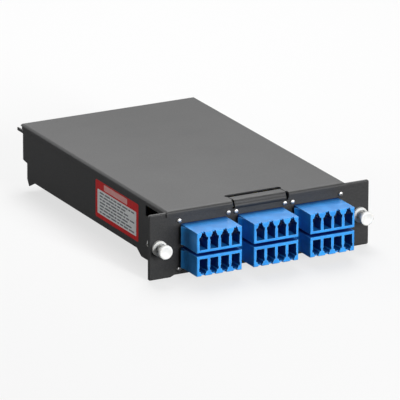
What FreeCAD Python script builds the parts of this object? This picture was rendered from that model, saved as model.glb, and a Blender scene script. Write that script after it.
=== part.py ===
import FreeCAD, Part
import math
import os

# Fibre cassette: a folded steel box behind a narrow panel that carries six quad LC adapters
# in front, with two MPO adapters in its rear wall and two push-pull plungers in its ears.
#
# Frame: millimetres, +X to the right as seen from the front, +Y into the rack, +Z up.
# The origin is the bottom centre of the whole part's box. Depths below are counted from
# the front face of the faceplate, and FACE_Y puts them in the frame.

# --- Sheet and overall sizes ---
BODY_DEPTH = 169.5          # front of the faceplate to the rear of the cover
SHEET = 0.8                 # steel of the tray and the cover
PLATE = 1.5                 # steel of the faceplate
COVER_GAP = 0.05            # fit of the cover over the tray walls
BEND_INSIDE = 0.7           # inside radius of a fold in the thin sheet

# --- Quad LC adapter ---
PORTS = 4
PORT_PITCH = 6.25
PORT_SIDE = 4.7             # square part of the keyhole that takes the plug body
PORT_SQUARE_TOP = 6.6       # heights inside the keyhole, from the adapter's plain side
PORT_FLOOR = 1.5
SHOULDER_WIDTH = 5.2
SHOULDER_TOP = 8.2
DOME_RADIUS = 1.75
DOME_BASE = 8.5
LATCH_SLOT_WIDTH = 2.2
LATCH_SLOT_DEPTH = 1.6
ADAPTER_SIDE_WALL = 1.375
ADAPTER_HEIGHT = 10.9
ADAPTER_PROUD = 17.8        # stands out in front of the faceplate
ADAPTER_TAIL = 19.2         # reaches behind the faceplate's front face
FLANGE_OVER = 1.1           # flange beyond the body, each side
FLANGE_RISE = 0.8             # flange above and below the body
FLANGE_THICKNESS = 2.0
FLANGE_CORNER = 1.8
BLOCK_FRONT = -0.9          # depth where the block that holds the sleeves starts
BLOCK_REAR = 5.9            # depth where it ends
WING_FRONT = 8.6            # snap wings, distances in front of the faceplate
WING_REAR = 2.4
WING_RISE = 1.3             # reach of a wing's heel beside the body
WING_MARGIN = 0.55          # wing short of the top and bottom of the body
EDGE_BREAK = 0.35

# --- Pattern of the adapters ---
COLUMNS = 3
COLUMN_GAP = 7.1            # between two adapter bodies side by side
ROW_GAP = 0.2               # between the flanges of the two rows
BOTTOM_MARGIN = 4.8         # bottom of the ears to the lowest adapter
HEADROOM = 7.1              # top adapter to the top of the faceplate
WINDOW_GAP = 0.2            # around an adapter body in its window

# --- Retainers and their rivets ---
RETAINER_THICKNESS = 1.0
RETAINER_EDGE = 1.35        # metal outside a rivet's axis
RIVET_BESIDE = 1.3          # rivet axis beside the adapter body
RIVET_ABOVE = 2.05          # rivet axis above the upper adapter
RIVET_BELOW = 0.85          # rivet axis below the lower adapter
RIVET_RADIUS = 0.85
RIVET_HEAD_RADIUS = 1.15
RIVET_HEAD_HEIGHT = 0.6
HOLE_GAP = 0.05             # around a rivet or a screw in its hole

# --- Housing around the adapters ---
SIDE_ROOM_LEFT = 4.5        # retainer to the left wall
SIDE_ROOM_RIGHT = 0.1       # retainer to the right wall
FLOOR_SETBACK = 1.2         # behind the retainers, where the floor starts
FLOOR_FRONT_Z = 3.0         # underside of the deeper front of the tray
FLOOR_Z = 6.2               # underside of the tray behind it
FRONT_FLOOR_END = 29.5
FLOOR_RAMP = 5.0
FOOT_LENGTH = 6.8
FOOT_TIP = 2.2              # foot tip in front of the tray's rear wall
FOOT_Z = 2.7
HOOD = 5.8                  # rear wall to the rear of the cover
WALL_STEP_Z = 15.0
WALL_STEP_SLOPE = 0.8
WALL_NOTCH_LENGTH = 23.0
WALL_NOTCH_HEIGHT = 8.0
TONGUE_Z = 30.6
TONGUE_HEIGHT = 1.6
TONGUE_REACH = 6.0
HEM_DROP = 5.0              # rear fold that takes the cover screws

# --- Cover ---
COVER_LIP = 3.1
COVER_REAR_LIP = 6.5
CORNER_RELIEF = 0.5
CATCH_WIDTH = 30.4
CATCH_SIDE_GAP = 0.5        # beside the catch, in the top of the cover
CATCH_RELIEF = 1.4          # beside it, in the folds and at its free end
CATCH_REACH = 6.7
CATCH_REAR_GAP = 3.2
CATCH_DROP = 0.2            # free end of the catch below the top of the cover
CATCH_FRONT_RISE = 0.3
CATCH_BEND_INSIDE = 0.3
BEAD_PROUD = 1.5            # the catch's finger bead in front of the faceplate
BEAD_BASE = 3.6             # start of the bead below the top of the faceplate
BEAD_HEIGHT = 2.7
SCREW_SPREAD = 35.0
SCREW_DROP = 4.6            # cover screw axis below the cover's top
SCREW_RADIUS = 1.25
SCREW_HEAD_RADIUS = 2.3
SCREW_HEAD_HEIGHT = 1.5
SCREW_LENGTH = 5.0

# --- Ears and plungers ---
EAR_WIDTH = 9.8             # ear beside the cover, on its narrow side
CENTRE_RISE = 1.0           # bottom edge between the ears above the ears
CENTRE_STEP = 12.5          # ear width along the bottom edge
CENTRE_SLOPE = 2.5
PLATE_CORNER = 1.0
PLATE_EDGE_ROUND = 0.75     # rounder than the inside of the cover's folds
PLUNGER_INSET = 5.6
PLUNGER_Z = 17.3
GROMMET_RADIUS = 3.0        # neck in the ear
LEGS_RADIUS = 2.75          # legs behind the ear
GROMMET_FLANGE_RADIUS = 4.1
GROMMET_FLANGE_HEIGHT = 2.0
GROMMET_LENGTH = 8.5        # behind the faceplate's front face
GROMMET_NOSE = 1.5
LEG_TIP_WALL = 0.5
GROMMET_RIM = 0.6           # bevel round the front of the flange
GROMMET_RECESS_RADIUS = 2.9
GROMMET_RECESS_DEPTH = 1.4
SLIT_WIDTH = 0.8
SLIT_START = 3.3            # solid ring of the legs behind the faceplate
SHANK_RADIUS = 1.9
SHANK_GAP = 0.06
HEAD_RADIUS = 3.8
HEAD_THICKNESS = 2.2
HEAD_ROUND = 0.7
PLUNGER_TRAVEL = 4.2
PLUNGER_STOP_GAP = 0.3      # left at each end of the travel
BARB_RADIUS = 2.6
BARB_LENGTH = 1.6
BARB_TIP_RADIUS = 1.15

# --- Rear MPO adapters ---
MPO_SPREAD = 12.0           # from the housing's middle
MPO_Z = 16.6
MPO_WIDTH = 12.7
MPO_HEIGHT = 9.4
MPO_WALL = 1.1
MPO_INSIDE = 12.0
MPO_OUTSIDE = 12.4
MPO_FLANGE_WIDTH = 17.5
MPO_FLANGE_THICKNESS = 1.6
MPO_FLANGE_RISE = 1.0       # flange above and below the body
MPO_BARB_RISE = 0.9
MPO_BARB_LENGTH = 4.0
MPO_BARB_HEIGHT = 4.7
MPO_BARB_GAP = 0.1          # barb to the inside of the rear wall
MPO_WEB = 1.4
MPO_WEB_WIDTH = 7.0
MPO_WEB_HEIGHT = 3.0
MPO_KEY_WIDTH = 3.0
MPO_KEY_DEPTH = 0.6

# --- Plugs, legs and fan-outs inside ---
PLUG_SIDE = 4.5
PLUG_GAP = 0.1
PLUG_TAIL = 7.0             # plug body behind the adapter
LATCH_WIDTH = 2.6
LATCH_TIP = 1.3
LATCH_RISE = 2.8
LATCH_ROOT = 0.2            # latch sunk in the plug body
LATCH_FRONT = 1.0           # latch root behind the plug's nose
LATCH_TIP_FRONT = 3.0
BOOT_LENGTH = 10.0
BOOT_SIDE = 3.6
LEG_WIDTH = 0.9
LEG_PITCH = 1.05
TUBE_SIDES = 4              # the hidden fibres are drawn four-sided
FANOUT_LENGTH = 14.0
FANOUT_HEIGHT = 4.2
FANOUT_SIDE = 1.0
BUNDLE_WIDTH = 3.0
BUNDLE_RUN = 28.0
MPO_PLUG_GAP = 0.15
MPO_PLUG_COLLAR = 6.6
MPO_PLUG_BOOT = 12.6
MPO_BOOT_END = 4.0
STAND_WALL = 1.2
STAND_LIP = 0.6
STAND_GAP = 0.05

# --- Sizes that follow ---
FLANGE_HEIGHT = ADAPTER_HEIGHT + 2 * FLANGE_RISE
ROW_PITCH = FLANGE_HEIGHT + ROW_GAP
ADAPTER_WIDTH = (PORTS - 1) * PORT_PITCH + PORT_SIDE + 2 * ADAPTER_SIDE_WALL
COLUMN_PITCH = ADAPTER_WIDTH + COLUMN_GAP
STACK_MID_Z = BOTTOM_MARGIN + (ROW_PITCH + ADAPTER_HEIGHT) / 2
STACK_TOP_Z = STACK_MID_Z + (ROW_PITCH + ADAPTER_HEIGHT) / 2
PLATE_HEIGHT = STACK_TOP_Z + HEADROOM
RIVET_X = ADAPTER_WIDTH / 2 + RIVET_BESIDE
RIVET_LOW_Z = BOTTOM_MARGIN - RIVET_BELOW
RIVET_HIGH_Z = STACK_TOP_Z + RIVET_ABOVE
RETAINER_HALF = RIVET_X + RETAINER_EDGE
FLANGE_REAR = PLATE + FLANGE_THICKNESS
RETAINER_REAR = FLANGE_REAR + RETAINER_THICKNESS
FLOOR_START = RETAINER_REAR + FLOOR_SETBACK

INNER_LEFT = -((COLUMNS - 1) / 2 * COLUMN_PITCH + RETAINER_HALF + SIDE_ROOM_LEFT)
INNER_RIGHT = (COLUMNS - 1) / 2 * COLUMN_PITCH + RETAINER_HALF + SIDE_ROOM_RIGHT
COVER_LEFT = INNER_LEFT - 2 * SHEET - COVER_GAP
COVER_RIGHT = INNER_RIGHT + 2 * SHEET + COVER_GAP
BODY_MID = (COVER_LEFT + COVER_RIGHT) / 2
COVER_TOP_Z = PLATE_HEIGHT + SHEET
PLATE_HALF = -COVER_LEFT + EAR_WIDTH
PLUNGER_X = PLATE_HALF - PLUNGER_INSET
REAR_WALL = BODY_DEPTH - HOOD
HEM_REAR = BODY_DEPTH - SHEET
MPO_FRONT = REAR_WALL - MPO_INSIDE
MPO_REAR = REAR_WALL + MPO_OUTSIDE
SCREW_Z = COVER_TOP_Z - SCREW_DROP
NOTCH_HALF = CATCH_WIDTH / 2 + CATCH_RELIEF
PLUG_NOSE = BLOCK_REAR + PLUG_GAP
PLUG_REAR = ADAPTER_TAIL + PLUG_TAIL
LEG_START = PLUG_REAR + BOOT_LENGTH
MPO_BOOT_TIP = MPO_FRONT - MPO_PLUG_COLLAR - MPO_PLUG_BOOT
FANOUT_REAR = MPO_BOOT_TIP - BUNDLE_RUN
FANOUT_FRONT = FANOUT_REAR - FANOUT_LENGTH
ROW_FIBRES = COLUMNS * PORTS
FANOUT_WIDTH = ROW_FIBRES * LEG_PITCH + 2 * FANOUT_SIDE
FACE_Y = (ADAPTER_PROUD - max(MPO_REAR, BODY_DEPTH + TONGUE_REACH)) / 2

ROWS = {"lower": -1, "upper": 1}
SIDES = {"left": -1, "right": 1}


# --- Small helpers ---

def place(x, depth, z):
    """A point of the frame from its depth behind the faceplate's front face."""
    return FreeCAD.Vector(x, FACE_Y + depth, z)


def block(x_low, x_high, depth_front, depth_rear, z_low, z_high):
    """A plain box between six planes."""
    return Part.makeBox(x_high - x_low, depth_rear - depth_front, z_high - z_low,
                        place(x_low, depth_front, z_low))


def centred_block(x, z, width, height, depth_front, depth_rear):
    """A box centred on an axis that runs into the rack."""
    return block(x - width / 2, x + width / 2, depth_front, depth_rear,
                 z - height / 2, z + height / 2)


def rod(x, z, radius, depth_front, depth_rear):
    """A cylinder along the depth."""
    return Part.makeCylinder(radius, depth_rear - depth_front, place(x, depth_front, z),
                             FreeCAD.Vector(0, 1, 0))


def taper(x, z, front_radius, rear_radius, depth_front, depth_rear):
    """A cone along the depth."""
    return Part.makeCone(front_radius, rear_radius, depth_rear - depth_front,
                         place(x, depth_front, z), FreeCAD.Vector(0, 1, 0))


def square_taper(x, z, front_size, rear_size, depth_front, depth_rear):
    """A four-sided taper along the depth, from one (width, height) to another."""
    front_width, front_height = front_size
    rear_width, rear_height = rear_size
    return Part.makeWedge(x - front_width / 2, FACE_Y + depth_front, z - front_height / 2,
                          z - rear_height / 2, x - rear_width / 2,
                          x + front_width / 2, FACE_Y + depth_rear, z + front_height / 2,
                          z + rear_height / 2, x + rear_width / 2)


def joined(shapes):
    """One solid from shapes that touch or overlap."""
    whole = shapes[0]
    if len(shapes) > 1:
        whole = whole.fuse(shapes[1:])
    return whole.removeSplitter()


def without(shape, tools):
    """The shape with the tools cut away."""
    return shape.cut(tools).removeSplitter()


def path_wire(points, radii, closed=False):
    """Straight runs through points, with a tangent arc of its own radius at each corner."""
    count = len(points)
    entries = []
    exits = []
    middles = []
    for index, corner in enumerate(points):
        radius = radii[index]
        at_end = not closed and index in (0, count - 1)
        if radius <= 0 or at_end:
            entries.append(corner)
            exits.append(corner)
            middles.append(None)
            continue
        back = (points[index - 1] - corner).normalize()
        ahead = (points[(index + 1) % count] - corner).normalize()
        half = back.getAngle(ahead) / 2
        reach = radius / math.tan(half)
        bisector = (back + ahead).normalize()
        entries.append(corner + back * reach)
        exits.append(corner + ahead * reach)
        middles.append(corner + bisector * (radius / math.sin(half) - radius))
    edges = []
    for index in range(count):
        if middles[index] is not None:
            arc = Part.Arc(entries[index], middles[index], exits[index])
            edges.append(arc.toShape())
        following = (index + 1) % count
        if following == 0 and not closed:
            break
        if (entries[following] - exits[index]).Length > 1e-6:
            edges.append(Part.LineSegment(exits[index], entries[following]).toShape())
    return Part.Wire(Part.__sortEdges__(edges))


def side_profile(points, radii, x_low, x_high):
    """A solid from an outline of (depth, z) points, extruded across X."""
    corners = [place(x_low, depth, z) for depth, z in points]
    face = Part.Face(path_wire(corners, radii, closed=True))
    return face.extrude(FreeCAD.Vector(x_high - x_low, 0, 0))


def front_profile(points, radii, depth_front, depth_rear):
    """A solid from an outline of (x, z) points, extruded into the depth."""
    corners = [place(x, depth_front, z) for x, z in points]
    face = Part.Face(path_wire(corners, radii, closed=True))
    return face.extrude(FreeCAD.Vector(0, depth_rear - depth_front, 0))


def folded_outline(points, thickness, inside):
    """Outline and corner radii of a folded sheet.

    The points run along one face of the sheet, and the metal lies to their left.
    Each fold gets the inside radius on its hollow face and that plus the sheet outside.
    """
    count = len(points)
    normals = []
    for index in range(count - 1):
        run = points[index + 1][0] - points[index][0]
        rise = points[index + 1][1] - points[index][1]
        length = math.hypot(run, rise)
        normals.append((-rise / length, run / length))
    far_side = []
    near_radii = [0.0] * count
    far_radii = [0.0] * count
    for index, (along, up) in enumerate(points):
        before = normals[max(index - 1, 0)]
        after = normals[min(index, count - 2)]
        cosine = before[0] * after[0] + before[1] * after[1]
        scale = thickness / (1 + cosine)
        far_side.append((along + (before[0] + after[0]) * scale,
                         up + (before[1] + after[1]) * scale))
        if 0 < index < count - 1:
            turns_left = before[0] * after[1] - before[1] * after[0] > 0
            near_radii[index] = inside + thickness if turns_left else inside
            far_radii[index] = inside if turns_left else inside + thickness
    return points + far_side[::-1], near_radii + far_radii[::-1]


def folded_sheet(points, thickness, inside, x_low, x_high):
    """A sheet folded along lines across X, from (depth, z) points along one face."""
    outline, radii = folded_outline(points, thickness, inside)
    return side_profile(outline, radii, x_low, x_high)


def edges_where(shape, test):
    """The edges of a shape whose every vertex passes a test."""
    chosen = []
    for edge in shape.Edges:
        if all(test(vertex.Point) for vertex in edge.Vertexes):
            chosen.append(edge)
    return chosen


def column_x(column):
    """Middle of an adapter column, counted from 1 at the left."""
    return (column - (COLUMNS + 1) / 2) * COLUMN_PITCH


def row_z(row):
    """Middle of an adapter row."""
    return STACK_MID_Z + ROWS[row] * ROW_PITCH / 2


def port_xs(column):
    """Middles of the ports of one column."""
    first = column_x(column) - (PORTS - 1) / 2 * PORT_PITCH
    return [first + index * PORT_PITCH for index in range(PORTS)]


def port_z(row):
    """Axis of the ferrules of one row: the middle of the keyhole's square part."""
    square_middle = PORT_FLOOR + PORT_SIDE / 2
    return row_z(row) - ROWS[row] * (ADAPTER_HEIGHT / 2 - square_middle)


def rivet_places(column):
    """The four rivet axes round one column."""
    middle = column_x(column)
    return [(middle + side * RIVET_X, z) for side in (-1, 1) for z in (RIVET_LOW_Z, RIVET_HIGH_Z)]


def adapter_places():
    """Name, column and row of every quad adapter."""
    return [(f"{column}_{row}", column, row)
            for column in range(1, COLUMNS + 1) for row in ROWS]


# --- Faceplate ---

def plate_blank():
    """Faceplate outline: two ears with square bottoms and a raised edge between them."""
    half = PLATE_HALF
    step = PLATE_HALF - CENTRE_STEP
    ramp = step - CENTRE_SLOPE
    outline = [(-half, 0), (-step, 0), (-ramp, CENTRE_RISE), (ramp, CENTRE_RISE), (step, 0),
               (half, 0), (half, PLATE_HEIGHT), (-half, PLATE_HEIGHT)]
    corner = PLATE_CORNER
    radii = [corner, 0, 0, 0, 0, corner, corner, corner]
    return front_profile(outline, radii, 0, PLATE)


def round_front_outline(plate):
    """Round the front edge of the blank, so that the cover's fold lies over it."""
    outline = edges_where(plate, lambda point: abs(point.y - FACE_Y) < 1e-6)
    return plate.makeFillet(PLATE_EDGE_ROUND, outline)


def catch_tongue():
    """Tongue at the middle of the top edge: a finger bead, then a fold back over the cover."""
    bead_low = PLATE_HEIGHT - BEAD_BASE
    front_top = COVER_TOP_Z + CATCH_FRONT_RISE
    free_top = COVER_TOP_Z - CATCH_DROP
    # Along the outer face, from the free end forward and down, with the metal to its left.
    points = [(CATCH_REACH, free_top), (0, front_top), (0, bead_low + BEAD_HEIGHT),
              (-BEAD_PROUD, bead_low + BEAD_HEIGHT / 2), (0, bead_low), (0, bead_low - PLATE)]
    return folded_sheet(points, PLATE, CATCH_BEND_INSIDE, -CATCH_WIDTH / 2, CATCH_WIDTH / 2)


def faceplate():
    """Front panel with adapter windows, rivet and plunger holes and the cover catch."""
    plate = round_front_outline(plate_blank())
    slot_low = PLATE_HEIGHT - BEAD_BASE
    slot = block(-NOTCH_HALF, NOTCH_HALF, -1, PLATE + 1, slot_low, PLATE_HEIGHT + 1)
    plate = joined([without(plate, [slot]), catch_tongue()])
    tools = []
    for _, column, row in adapter_places():
        tools.append(centred_block(column_x(column), row_z(row), ADAPTER_WIDTH + 2 * WINDOW_GAP,
                                   ADAPTER_HEIGHT + 2 * WINDOW_GAP, -1, PLATE + 1))
    for column in range(1, COLUMNS + 1):
        for x, z in rivet_places(column):
            tools.append(rod(x, z, RIVET_RADIUS + HOLE_GAP, -1, PLATE + 1))
    for side in SIDES.values():
        tools.append(rod(side * PLUNGER_X, PLUNGER_Z, GROMMET_RADIUS + HOLE_GAP, -1, PLATE + 1))
    return without(plate, tools)


# --- Tray and cover ---

def wall_outline():
    """Side wall outline in (depth, z): notched behind the ear, stepped at the rear."""
    rear = REAR_WALL
    top = PLATE_HEIGHT - BEND_INSIDE
    notch_z = top - WALL_NOTCH_HEIGHT
    tongue_rear = BODY_DEPTH + TONGUE_REACH
    return [(PLATE, FLOOR_FRONT_Z), (FRONT_FLOOR_END, FLOOR_FRONT_Z),
            (FRONT_FLOOR_END + FLOOR_RAMP, FLOOR_Z), (rear - FOOT_TIP - FOOT_LENGTH, FLOOR_Z),
            (rear - FOOT_TIP, FOOT_Z), (rear, FLOOR_Z), (rear, WALL_STEP_Z),
            (HEM_REAR, WALL_STEP_Z + WALL_STEP_SLOPE), (HEM_REAR, TONGUE_Z),
            (tongue_rear, TONGUE_Z), (tongue_rear, TONGUE_Z + TONGUE_HEIGHT),
            (HEM_REAR, TONGUE_Z + TONGUE_HEIGHT), (HEM_REAR, top),
            (PLATE + WALL_NOTCH_LENGTH, top), (PLATE + WALL_NOTCH_LENGTH, notch_z),
            (PLATE, notch_z)]


def tray_pan():
    """Floor, rear wall and the rear hem that takes the cover screws, folded from one strip."""
    under_top = PLATE_HEIGHT - SHEET
    points = [(FLOOR_START, FLOOR_FRONT_Z), (FRONT_FLOOR_END, FLOOR_FRONT_Z),
              (FRONT_FLOOR_END + FLOOR_RAMP, FLOOR_Z), (REAR_WALL, FLOOR_Z),
              (REAR_WALL, under_top), (HEM_REAR - SHEET, under_top),
              (HEM_REAR - SHEET, PLATE_HEIGHT - HEM_DROP)]
    return folded_sheet(points, SHEET, BEND_INSIDE, INNER_LEFT, INNER_RIGHT)


def base_tray():
    """The folded tray: floor, two side walls and the rear wall."""
    outline = wall_outline()
    flat = [0.0] * len(outline)
    left = side_profile(outline, flat, INNER_LEFT - SHEET, INNER_LEFT)
    right = side_profile(outline, flat, INNER_RIGHT, INNER_RIGHT + SHEET)
    tray = joined([tray_pan(), left, right])
    tools = []
    for side in SIDES.values():
        tools.append(centred_block(BODY_MID + side * MPO_SPREAD, MPO_Z,
                                   MPO_WIDTH + 2 * WINDOW_GAP, MPO_HEIGHT + 2 * WINDOW_GAP,
                                   REAR_WALL - 2, REAR_WALL + 2))
        tools.append(rod(BODY_MID + side * SCREW_SPREAD, SCREW_Z, SCREW_RADIUS + HOLE_GAP,
                         HEM_REAR - 2, HEM_REAR + 1))
    return without(tray, tools)


def cover_shell():
    """Lid with a folded rim all round, before its cut-outs."""
    rim_low = COVER_TOP_Z - COVER_LIP
    rear_low = COVER_TOP_Z - COVER_REAR_LIP
    outer = block(COVER_LEFT, COVER_RIGHT, -SHEET, BODY_DEPTH, rear_low, COVER_TOP_Z)
    inner = block(COVER_LEFT + SHEET, COVER_RIGHT - SHEET, 0, HEM_REAR, rear_low - 1,
                  COVER_TOP_Z - SHEET)

    def on_top(level):
        return lambda point: abs(point.z - level) < 1e-6

    outer = outer.makeFillet(BEND_INSIDE + SHEET, edges_where(outer, on_top(COVER_TOP_Z)))
    under = COVER_TOP_Z - SHEET
    inner = inner.makeFillet(BEND_INSIDE, edges_where(inner, on_top(under)))
    low_rim = block(COVER_LEFT - 1, COVER_RIGHT + 1, -SHEET - 1, HEM_REAR, rear_low - 1, rim_low)
    return without(outer, [inner, low_rim])


def corner_reliefs():
    """Cuts at the cover's corners: round the faceplate in front, past the tray behind."""
    fold = SHEET + BEND_INSIDE
    rim = 2 * SHEET + 2 * COVER_GAP
    low = COVER_TOP_Z - COVER_REAR_LIP - 1
    tools = []
    for edge, inward in ((COVER_LEFT, 1), (COVER_RIGHT, -1)):
        xs = sorted((edge - inward, edge + inward * fold))
        tools.append(block(xs[0], xs[1], 0, PLATE + COVER_GAP, low, COVER_TOP_Z - SHEET))
        xs = sorted((edge - inward, edge + inward * rim))
        tools.append(block(xs[0], xs[1], HEM_REAR - CORNER_RELIEF, BODY_DEPTH + 1, low,
                           COVER_TOP_Z - fold))
    return tools


def catch_opening():
    """Cuts round the catch: wide in the front fold, close beside it, a slot at its free end."""
    low = COVER_TOP_Z - COVER_LIP - 1
    high = COVER_TOP_Z + 1
    slot_rear = CATCH_REACH + CATCH_REAR_GAP
    close = CATCH_WIDTH / 2 + CATCH_SIDE_GAP
    radius = CATCH_REAR_GAP / 2
    tools = [block(-NOTCH_HALF, NOTCH_HALF, -SHEET - 1, PLATE, low, high),
             block(-close, close, 0, slot_rear, low, high)]
    for side in SIDES.values():
        end = side * (NOTCH_HALF - radius)
        tools.append(Part.makeCylinder(radius, high - low,
                                       place(end, slot_rear - radius, low)))
    return tools


def top_cover():
    """The lid: rim, relieved corners, an opening round the catch and two screw holes."""
    tools = corner_reliefs() + catch_opening()
    for side in SIDES.values():
        tools.append(rod(BODY_MID + side * SCREW_SPREAD, SCREW_Z, SCREW_RADIUS + HOLE_GAP,
                         HEM_REAR - 1, BODY_DEPTH + 1))
    return without(cover_shell(), tools)


def cover_screw(x):
    """A pan head screw from behind, through the rim and the hem."""
    shank = rod(x, SCREW_Z, SCREW_RADIUS, BODY_DEPTH - SCREW_LENGTH, BODY_DEPTH)
    head = rod(x, SCREW_Z, SCREW_HEAD_RADIUS, BODY_DEPTH, BODY_DEPTH + SCREW_HEAD_HEIGHT)
    return joined([shank, head])


def cover_screws():
    """Two screws through the cover's rear rim into the tray's hem."""
    return [cover_screw(BODY_MID + side * SCREW_SPREAD) for side in SIDES.values()]


# --- Quad LC adapters ---

def keyhole(x, row, depth_front, depth_rear):
    """Cutter for one port: a square for the plug body, shoulders and a dome for its latch."""
    turn = ROWS[row]
    base = row_z(row) - turn * ADAPTER_HEIGHT / 2
    half = PORT_SIDE / 2
    shoulder = SHOULDER_WIDTH / 2
    heights = [(-half, PORT_FLOOR), (half, PORT_FLOOR), (half, PORT_SQUARE_TOP),
               (shoulder, PORT_SQUARE_TOP), (shoulder, SHOULDER_TOP), (DOME_RADIUS, DOME_BASE)]
    lower = [place(x + across, depth_front, base + turn * up) for across, up in heights]
    mirrored = [place(x - across, depth_front, base + turn * up)
                for across, up in heights[:1:-1]]
    crown = place(x, depth_front, base + turn * (DOME_BASE + DOME_RADIUS))
    edges = []
    for start, end in zip(lower, lower[1:]):
        edges.append(Part.LineSegment(start, end).toShape())
    edges.append(Part.Arc(lower[-1], crown, mirrored[0]).toShape())
    for start, end in zip(mirrored, mirrored[1:] + lower[:1]):
        edges.append(Part.LineSegment(start, end).toShape())
    face = Part.Face(Part.Wire(Part.__sortEdges__(edges)))
    return face.extrude(FreeCAD.Vector(0, depth_rear - depth_front, 0))


def latch_slot(x, row, depth_front, depth_rear):
    """Cutter that opens the crown of a port's dome at the end face of the adapter."""
    turn = ROWS[row]
    middle = row_z(row) + turn * ADAPTER_HEIGHT / 2
    return centred_block(x, middle, LATCH_SLOT_WIDTH, 2 * DOME_RADIUS, depth_front, depth_rear)


def adapter_flange(column, row):
    """Flange behind the faceplate, its corners cut back to clear the rivets."""
    half = ADAPTER_WIDTH / 2 + FLANGE_OVER
    rise = FLANGE_HEIGHT / 2
    cut = FLANGE_CORNER
    x = column_x(column)
    z = row_z(row)
    outline = [(x - half + cut, z - rise), (x + half - cut, z - rise), (x + half, z - rise + cut),
               (x + half, z + rise - cut), (x + half - cut, z + rise), (x - half + cut, z + rise),
               (x - half, z + rise - cut), (x - half, z - rise + cut)]
    return front_profile(outline, [0.0] * len(outline), PLATE, FLANGE_REAR)


def break_end_edges(body, end_depth):
    """Chamfer the outline of a moulded body at one of its ends."""
    level = FACE_Y + end_depth
    outline = edges_where(body, lambda point: abs(point.y - level) < 1e-6)
    return body.makeChamfer(EDGE_BREAK, outline)


def snap_wing(edge, side, z):
    """Wing on a side of an adapter: it flares out and ends in a heel before the faceplate."""
    length = WING_FRONT - WING_REAR
    radius = (length ** 2 + WING_RISE ** 2) / (2 * WING_RISE)
    half = math.atan2(WING_RISE, length)
    middle = side * radius * (1 - math.cos(half))
    low = z - ADAPTER_HEIGHT / 2 + WING_MARGIN
    start = place(edge, -WING_FRONT, low)
    crest = place(edge + side * WING_RISE, -WING_REAR, low)
    foot = place(edge, -WING_REAR, low)
    flare = Part.Arc(start, place(edge + middle, radius * math.sin(half) - WING_FRONT, low), crest)
    edges = [flare.toShape(), Part.LineSegment(crest, foot).toShape(),
             Part.LineSegment(foot, start).toShape()]
    face = Part.Face(Part.Wire(edges))
    return face.extrude(FreeCAD.Vector(0, 0, ADAPTER_HEIGHT - 2 * WING_MARGIN))


def adapter_front(column, row):
    """Front half of a quad adapter: four keyholes, a snap wing on each side and the flange."""
    x = column_x(column)
    z = row_z(row)
    body = centred_block(x, z, ADAPTER_WIDTH, ADAPTER_HEIGHT, -ADAPTER_PROUD, FLANGE_REAR)
    wings = [snap_wing(x + side * ADAPTER_WIDTH / 2, side, z) for side in SIDES.values()]
    body = joined([break_end_edges(body, -ADAPTER_PROUD), adapter_flange(column, row)] + wings)
    tools = []
    for port_x in port_xs(column):
        tools.append(keyhole(port_x, row, -ADAPTER_PROUD - 1, BLOCK_FRONT))
        tools.append(latch_slot(port_x, row, -ADAPTER_PROUD - 1, -ADAPTER_PROUD + LATCH_SLOT_DEPTH))
    return without(body, tools)


def adapter_rear(column, row):
    """Rear half of a quad adapter, behind the flange, with plain stepped ports."""
    x = column_x(column)
    z = row_z(row)
    turn = ROWS[row]
    body = centred_block(x, z, ADAPTER_WIDTH, ADAPTER_HEIGHT, FLANGE_REAR, ADAPTER_TAIL)
    latch_top = DOME_BASE + DOME_RADIUS
    latch_z = z + turn * (PORT_FLOOR + latch_top - ADAPTER_HEIGHT) / 2
    tools = []
    for port_x in port_xs(column):
        tools.append(centred_block(port_x, port_z(row), PORT_SIDE, PORT_SIDE, BLOCK_REAR,
                                   ADAPTER_TAIL + 1))
        tools.append(centred_block(port_x, latch_z, 2 * DOME_RADIUS, latch_top - PORT_FLOOR,
                                   BLOCK_REAR, ADAPTER_TAIL + 1))
    return without(body, tools)


# --- Retainers ---

def retainer_rivet(x, z):
    """A rivet with its head in front, set flush behind the retainer."""
    shank = rod(x, z, RIVET_RADIUS, 0, RETAINER_REAR)
    head = rod(x, z, RIVET_HEAD_RADIUS, -RIVET_HEAD_HEIGHT, 0)
    return joined([shank, head])


def adapter_retainer(column):
    """Plate behind both flanges of a column, with the four rivets that hold it."""
    x = column_x(column)
    plate = block(x - RETAINER_HALF, x + RETAINER_HALF, FLANGE_REAR, RETAINER_REAR,
                  RIVET_LOW_Z - RETAINER_EDGE, RIVET_HIGH_Z + RETAINER_EDGE)
    tools = [centred_block(x, row_z(row), ADAPTER_WIDTH + 2 * WINDOW_GAP,
                           ADAPTER_HEIGHT + 2 * WINDOW_GAP, FLANGE_REAR - 1, RETAINER_REAR + 1)
             for row in ROWS]
    rivets = [retainer_rivet(rivet_x, rivet_z) for rivet_x, rivet_z in rivet_places(column)]
    return joined([without(plate, tools)] + rivets)


# --- Push-pull plungers ---

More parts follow.
